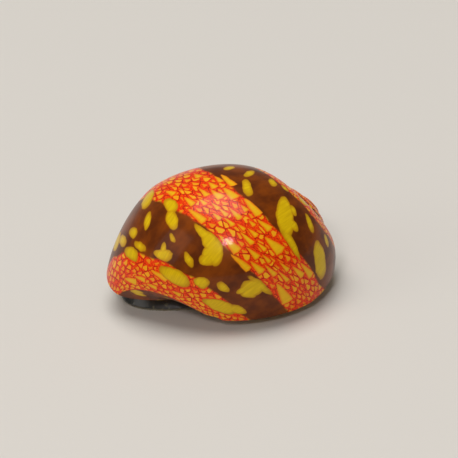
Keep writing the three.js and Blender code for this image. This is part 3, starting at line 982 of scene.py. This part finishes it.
def shellPattern():
    material, tree, shader = newMaterial("bandedShell")
    place = addNode(tree, "ShaderNodeUVMap", uv_map="spiralPlace").outputs[0]
    fine = warped(tree, place, *bands["fine"])
    ragged = warped(tree, place, *bands["ragged"])
    depth = greatestDepth(tree, ragged, yellowPatches, patch)
    markDepth = greatestDepth(tree, fine, pointedMarks, pointedMark)
    anyDepth = calc(tree, "MAXIMUM", depth, scatteredDepth(tree, ragged))

    lines = noise(tree, vectorCalc(tree, "MULTIPLY", place, gloss["growthLines"]),
                  *gloss["growthLineNoise"])["Fac"]
    yellow = ramp(tree, lines, *gloss["growthLineFade"])
    yellow = mixColour(tree, yellow, bands["yellowDeep"], bands["yellowBright"])
    yellow = mixColour(tree, ramp(tree, anyDepth, *bands["edgeColourFade"]), bands["yellowEdge"], yellow)
    brown = mottled(tree, place, bands["brownCloud"], bands["brownDark"], bands["brownLight"])["Colour"]
    brown = mixColour(tree, ramp(tree, anyDepth, *bands["patchFade"]), brown, yellow)

    red = netColour(tree, place, fine, calc(tree, "MAXIMUM", markDepth, depth))
    colour = mixColour(tree, redBands(tree, place), brown, red)
    markColour = ramp(tree, markDepth, *bands["edgeColourFade"])
    markColour = mixColour(tree, markColour, net["tentDeep"], bands["markPale"])
    colour = mixColour(tree, ramp(tree, markDepth, *bands["markFade"]), colour, markColour)
    colour = mixColour(tree, ramp(tree, depth, *bands["patchFade"]), colour, yellow)
    shade = calc(tree, "MULTIPLY_ADD", lines, *gloss["growthLineShade"])
    colour = mixColour(tree, 1.0, colour, combine(tree, shade, shade, shade), "MULTIPLY")
    feed(tree, shader.inputs["Base Color"], colour)
    cloud = noise(tree, place, gloss["roughnessScale"], 3.0)["Fac"]
    feed(tree, shader.inputs["Roughness"], calc(tree, "MULTIPLY_ADD", cloud, *gloss["roughness"]))
    shader.inputs["Specular IOR Level"].default_value = gloss["specular"]
    shader.inputs["Coat Weight"].default_value = gloss["coat"]
    shader.inputs["Coat Roughness"].default_value = gloss["coatRoughness"]
    addBump(tree, shader, lines, gloss["bump"], gloss["bumpDepth"])
    return material


insideLooks = {
    "cream": srgb(222, 196, 138),
    "orange": srgb(206, 140, 70),
    "cloud": {"Scale": 300.0, "Detail": 3.0},
    "roughness": (0.1, 0.28),
    "bumpScale": 1400.0,
    "bump": 0.4,
    "bumpDepth": 0.02,
}


def shellInside():
    material, tree, shader = newMaterial("shellInside")
    place = objectPlace(tree)
    looks = mottled(tree, place, insideLooks["cloud"], insideLooks["cream"], insideLooks["orange"])
    feed(tree, shader.inputs["Base Color"], looks["Colour"])
    rough = calc(tree, "MULTIPLY_ADD", looks["Cloud"], *insideLooks["roughness"])
    feed(tree, shader.inputs["Roughness"], rough)
    grain = noise(tree, place, insideLooks["bumpScale"])["Fac"]
    addBump(tree, shader, grain, insideLooks["bump"], insideLooks["bumpDepth"])
    return material


shellShape.materials.clear()
shellShape.materials.append(shellPattern())
shellShape.materials.append(shellInside())
shellShape.polygons.foreach_set("material_index", np.where(outsideFaces, 0, 1).astype(np.int32))
print("shell pattern made")


# The flesh: one skin grown from the solids of the foot, head, feelers, mantle edge and body

fleshNodes = ["foot_front", "foot_rear", "body", "mantle_edge", "neck", "head", "snout"]
fleshNodes += [f"tentacle_{side}_{part}" for side in ("left", "right") for part in ("base", "middle", "tip")]
fleshNodes += ["eye_stalk_left", "eye_stalk_right"]
flesh = {
    "mergeWithin": 0.0005,
    "swell": 0.21,
    "voxel": 0.085,
    "smoothRounds": 7,
    "lastVoxel": 0.095,
    "lastSmoothRounds": 2,
    "soleFlatTo": 0.05,
    "eyeCupRadius": 0.25,
    "eyeCupBehindEye": 0.13,
    "headAt": (-5.7, -3.75),
    "headTurnedRight": 58,
    "mouthAt": (0, -2.9, 0.42),
    "mouthHalf": (0.055, 0.34, 0.36),
    # rings and segments of the round shapes that it is made with
    "roundness": (16, 24),
}
# soft folds across the head and snout, in the head's own frame: right, backwards and up
wrinkles = {
    "spacing": 0.44,
    "depth": 0.035,
    # how far they sway, and how fast, over the width and the height
    "swayAcross": (0.07, 3.1),
    "swayUp": (0.05, 5.3),
    # where they end, and the length over which they fade out there
    "back": (1.2, 0.8),
    "front": (-2.6, 0.4),
    "side": (2.3, 0.5),
    "top": (2.35, 0.4),
    "bottom": (0.25, 0.3),
}
skinLooks = {
    "darkest": srgb(14, 15, 13),
    "dark": srgb(38, 38, 32),
    "mottle": {"Scale": 900.0, "Detail": 4.0, "Roughness": 0.65},
    "fleck": srgb(112, 106, 78),
    "fleckScale": 2600.0,
    # from none to most, over this range of the noise
    "fleckAmount": (0.60, 0.70, 0.0, 0.6),
    "sole": srgb(150, 140, 112),
    "soleColourTo": (0.05, 0.28),
    "roughness": (0.2, 0.2),
    "coat": 0.4,
    "coatRoughness": 0.12,
    "bumpNoise": (3200.0, 3.0, 0.6),
    "bump": 0.6,
    "bumpDepth": 0.03,
}


def nodeCopy(name):
    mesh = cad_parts[name].data.copy()
    mesh.transform(toMetres.inverted())
    shape = bmesh.new()
    shape.from_mesh(mesh)
    bmesh.ops.remove_doubles(shape, verts=shape.verts, dist=flesh["mergeWithin"])
    shape.to_mesh(mesh)
    shape.free()
    return mesh


def pushOut(mesh, distance):
    setVertices(mesh, vertexArray(mesh) + vertexNormals(mesh) * distance)


def mergedMesh(meshes):
    shape = bmesh.new()
    for mesh in meshes:
        shape.from_mesh(mesh)
    merged = bpy.data.meshes.new("merged")
    shape.to_mesh(merged)
    shape.free()
    return merged


def remeshed(mesh, voxel, rounds):
    made = newObject("shaping", mesh)
    remesh = made.modifiers.new("remesh", "REMESH")
    remesh.mode = "VOXEL"
    remesh.voxel_size = voxel
    smooth = made.modifiers.new("smooth", "SMOOTH")
    smooth.factor = 0.5
    smooth.iterations = rounds
    result = evaluated(made)
    dropObject(made)
    return result


def middleOf(node):
    low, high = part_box(node)
    return (low + high) / 2 / millimetre


def eyeCup(side):
    eye = middleOf(f"eye_{side}")
    way = (eye - middleOf(f"eye_stalk_{side}")).normalized()
    radius = flesh["eyeCupRadius"]
    place = eye - way * flesh["eyeCupBehindEye"]
    return ball("eyeCup", (radius, radius, radius), place, *flesh["roundness"])


def headPlace():
    x, y = flesh["headAt"]
    return Matrix.Translation((x, y, 0)) @ turned("Z", -flesh["headTurnedRight"])


def below(values, limit):
    end, fade = limit
    return np.clip((end - values) / fade, 0, 1)


def above(values, limit):
    start, fade = limit
    return np.clip((values - start) / fade, 0, 1)


def wrinkle(mesh):
    away = np.array(headPlace().inverted())
    points = vertexArray(mesh)
    places = points @ away[:3, :3].T + away[:3, 3]
    x, y, z = places.T
    far, quick = wrinkles["swayAcross"]
    farUp, quickUp = wrinkles["swayUp"]
    swayed = y + far * np.sin(quick * x) + farUp * np.sin(quickUp * z)
    wave = np.sin(2 * math.pi * swayed / wrinkles["spacing"])
    onHead = below(y, wrinkles["back"]) * above(y, wrinkles["front"])
    onHead *= below(np.abs(x), wrinkles["side"]) * below(z, wrinkles["top"])
    onHead *= above(z, wrinkles["bottom"])
    depth = -wrinkles["depth"] * (0.5 + 0.5 * wave) * onHead
    setVertices(mesh, points + vertexNormals(mesh) * depth[:, None])


def fleshSkin():
    swollen = [nodeCopy(name) for name in fleshNodes]
    swollen += [eyeCup(side) for side in ("left", "right")]
    for mesh in swollen:
        pushOut(mesh, flesh["swell"])
    skin = remeshed(mergedMesh(swollen), flesh["voxel"], flesh["smoothRounds"])
    pushOut(skin, -flesh["swell"])
    # once more, to take out the folds that the way back leaves in the creases
    skin = remeshed(skin, flesh["lastVoxel"], flesh["lastSmoothRounds"])
    points = vertexArray(skin)
    points[points[:, 2] < flesh["soleFlatTo"], 2] = 0.0
    setVertices(skin, points)
    wrinkle(skin)
    slit = ball("mouthSlit", flesh["mouthHalf"], flesh["mouthAt"], *flesh["roundness"])
    slit.transform(headPlace())
    skin = joined(skin, slit, "DIFFERENCE")
    skin.transform(toMetres)
    skin.shade_smooth()
    return skin


skinShape = fleshSkin()
skin = newObject("nerite.flesh", skinShape)
print("flesh made,", len(skinShape.polygons), "faces")


def fleshMaterial():
    material, tree, shader = newMaterial("wetFlesh")
    place = objectPlace(tree)
    ground = mottled(tree, place, skinLooks["mottle"], skinLooks["darkest"], skinLooks["dark"])
    flecks = noise(tree, place, skinLooks["fleckScale"])["Fac"]
    flecks = ramp(tree, flecks, *skinLooks["fleckAmount"])
    colour = mixColour(tree, flecks, ground["Colour"], skinLooks["fleck"])
    lowest, highest = skinLooks["soleColourTo"]
    height = split(tree, place)["Z"]
    low = ramp(tree, height, lowest * millimetre, highest * millimetre, 1.0, 0.0)
    feed(tree, shader.inputs["Base Color"], mixColour(tree, low, colour, skinLooks["sole"]))
    rough = calc(tree, "MULTIPLY_ADD", ground["Cloud"], *skinLooks["roughness"])
    feed(tree, shader.inputs["Roughness"], rough)
    shader.inputs["Coat Weight"].default_value = skinLooks["coat"]
    shader.inputs["Coat Roughness"].default_value = skinLooks["coatRoughness"]
    grain = noise(tree, place, *skinLooks["bumpNoise"])["Fac"]
    addBump(tree, shader, grain, skinLooks["bump"], skinLooks["bumpDepth"])
    return material


skinShape.materials.clear()
skinShape.materials.append(fleshMaterial())


# The operculum, a limy plate on the back of the foot

operculum = {
    "thickness": 0.55,
    "half": (2.7, 1.9),
    "squareness": 2.2,
    "sides": 96,
    "straightAt": 1.1,
    "top": 0.1,
    # share of the thickness up from the underside, and how far the edge is drawn in there
    "edge": [(0, 0.16), (0.04, 0.07), (0.14, 0.01), (0.3, 0.0), (0.75, 0.0), (0.9, 0.03), (0.97, 0.1),
             (1, 0.2)],
    "growthFrom": (1.9, 0.7),
}
plateLooks = {
    "pale": srgb(212, 178, 138),
    "dark": srgb(150, 96, 66),
    "driftScale": 400.0,
    # the growth rings are a wave: radians for each metre, and how far the drift pushes it
    "rings": 16000.0,
    "ringDrift": 5.0,
    "ringShade": 0.35,
    "driftShade": (0.4, 0.7, 0.0, 0.5),
    "roughness": (0.2, 0.32),
    "bump": 0.5,
    "bumpDepth": 0.03,
}


def operculumMesh():
    halfWidth, halfLength = operculum["half"]
    rings = []
    for share, drawnIn in operculum["edge"]:
        height = operculum["top"] - operculum["thickness"] * (1 - share)
        width, length = halfWidth - drawnIn, halfLength - drawnIn
        ring = roundedOutline(width, length, operculum["squareness"], height, operculum["sides"])
        rings.append([(x, min(y, operculum["straightAt"] - drawnIn), z) for x, y, z in ring])
    return atHeading(loftMesh("operculum", rings), mouth["deckHollowAt"])


def operculumMaterial(nucleus):
    material, tree, shader = newMaterial("limyPlate")
    place = objectPlace(tree)
    values = {0: place, 1: nucleus}
    away = addNode(tree, "ShaderNodeVectorMath", values, operation="DISTANCE").outputs["Value"]
    drift = noise(tree, place, plateLooks["driftScale"], 3.0)["Fac"]
    pushed = calc(tree, "MULTIPLY", drift, plateLooks["ringDrift"])
    rings = calc(tree, "SINE", calc(tree, "MULTIPLY_ADD", away, plateLooks["rings"], pushed))
    rings = ramp(tree, rings, -1.0, 1.0)
    shades = calc(tree, "MULTIPLY", rings, plateLooks["ringShade"])
    shades = calc(tree, "ADD", shades, ramp(tree, drift, *plateLooks["driftShade"]))
    feed(tree, shader.inputs["Base Color"], mixColour(tree, shades, plateLooks["pale"], plateLooks["dark"]))
    rough = calc(tree, "MULTIPLY_ADD", drift, *plateLooks["roughness"])
    feed(tree, shader.inputs["Roughness"], rough)
    addBump(tree, shader, rings, plateLooks["bump"], plateLooks["bumpDepth"])
    return material


plateShape = operculumMesh()
plateShape.transform(toMetres @ toFloor)
plateShape.shade_smooth()
plate = newObject("nerite.operculum", plateShape)
nucleusX, nucleusY = operculum["growthFrom"]
plateTurn = toMetres @ toFloor @ turned("Z", carriage["heading"])
plateAt = (mouth["deckHollowAt"][0] + nucleusX, mouth["deckHollowAt"][1] + nucleusY, 0)
plateShape.materials.append(operculumMaterial(plateTurn @ Vector(plateAt)))


# The eyes

eyes = {
    "roundness": (24, 32),
    "colour": srgb(8, 8, 9),
    "rim": srgb(38, 34, 28),
    "driftScale": 5000.0,
    "roughness": 0.08,
    "coat": 1.0,
    "coatRoughness": 0.02,
}


def eyeMaterial():
    material, tree, shader = newMaterial("darkEye")
    drift = noise(tree, objectPlace(tree), eyes["driftScale"])["Fac"]
    feed(tree, shader.inputs["Base Color"], mixColour(tree, drift, eyes["colour"], eyes["rim"]))
    shader.inputs["Roughness"].default_value = eyes["roughness"]
    shader.inputs["Coat Weight"].default_value = eyes["coat"]
    shader.inputs["Coat Roughness"].default_value = eyes["coatRoughness"]
    return material


eyeLook = eyeMaterial()
eyePieces = []
for side in ("left", "right"):
    low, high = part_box(f"eye_{side}")
    radius = (high.z - low.z) / 2 / millimetre
    eyeShape = ball("eye", (radius, radius, radius), middleOf(f"eye_{side}"), *eyes["roundness"])
    eyeShape.transform(toMetres)
    eyeShape.shade_smooth()
    eyeShape.materials.append(eyeLook)
    eyePieces.append((newObject(f"nerite.eye.{side}", eyeShape), f"eye_{side}"))
print("operculum and eyes made")


# Every piece stands for its solids and rides on the one body

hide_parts("shell")
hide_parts(*fleshNodes)
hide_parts("operculum")
slots = [(shell, "shell"), (skin, "flesh"), (plate, "operculum")]
for piece, node in eyePieces:
    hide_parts(node)
    slots.append((piece, "eye"))
for piece, slot in slots:
    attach(piece, "root")
print("pieces placed")
